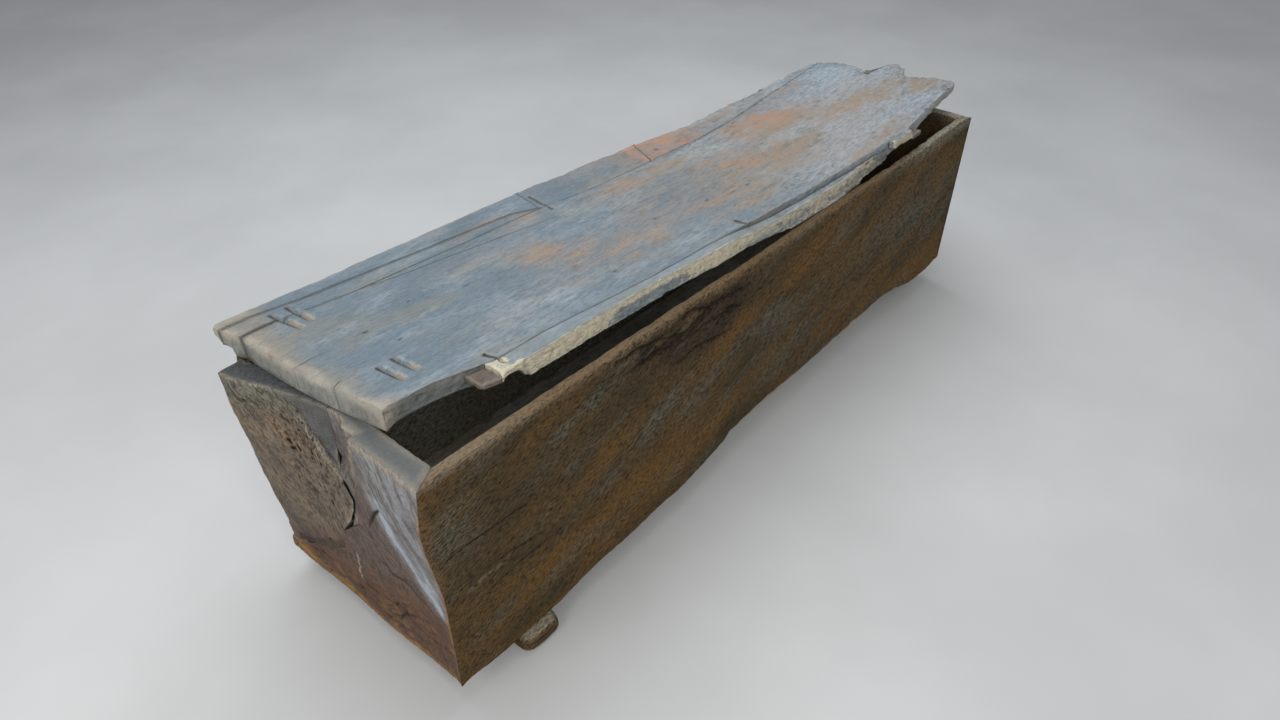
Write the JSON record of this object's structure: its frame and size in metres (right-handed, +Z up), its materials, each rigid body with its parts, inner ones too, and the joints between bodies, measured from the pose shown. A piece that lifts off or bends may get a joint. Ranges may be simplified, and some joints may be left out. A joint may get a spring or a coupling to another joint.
{
  "type": "rectangular coffin",
  "caption": "Plain rectangular coffin of weathered planks on battens, mitred at the corners, with a warped and broken lift-off lid and a split foot end that leans out.",
  "frame": {"origin": "on the ground, under the middle of the outline", "axes": "+X along the length from the foot end to the head end, +Y across from the front side to the back side, +Z up"},
  "size_m": [1.954, 0.542, 0.5783],
  "materials": {
    "side_wood": "matt, weathered",
    "foot_wood": "matt, weathered",
    "slab_wood": "matt, weathered",
    "inner_wood": "matt, weathered",
    "lid_wood": "matt, weathered",
    "strip_wood": "matt, weathered",
    "tenon_wood": "matt, weathered"
  },
  "bodies": {
    "root": {"front_side_board": "side_wood", "back_side_board": "side_wood", "head_end_board": "side_wood", "foot_batten": "side_wood", "head_batten": "side_wood", "foot_end_board": "foot_wood", "foot_end_slab": "slab_wood", "floor_plank_front": "inner_wood", "floor_plank_middle": "inner_wood", "floor_plank_back": "inner_wood", "lid_main_plank": "lid_wood", "lid_wedge_plank": "lid_wood", "lid_back_strip_foot": "lid_wood", "lid_back_strip_middle": "lid_wood", "lid_back_strip_head": "lid_wood", "lid_front_strip": "strip_wood", "lid_front_stub": "strip_wood", "lid_tenon_foot": "tenon_wood", "lid_tenon_head": "tenon_wood"}
  },
  "joints": []
}
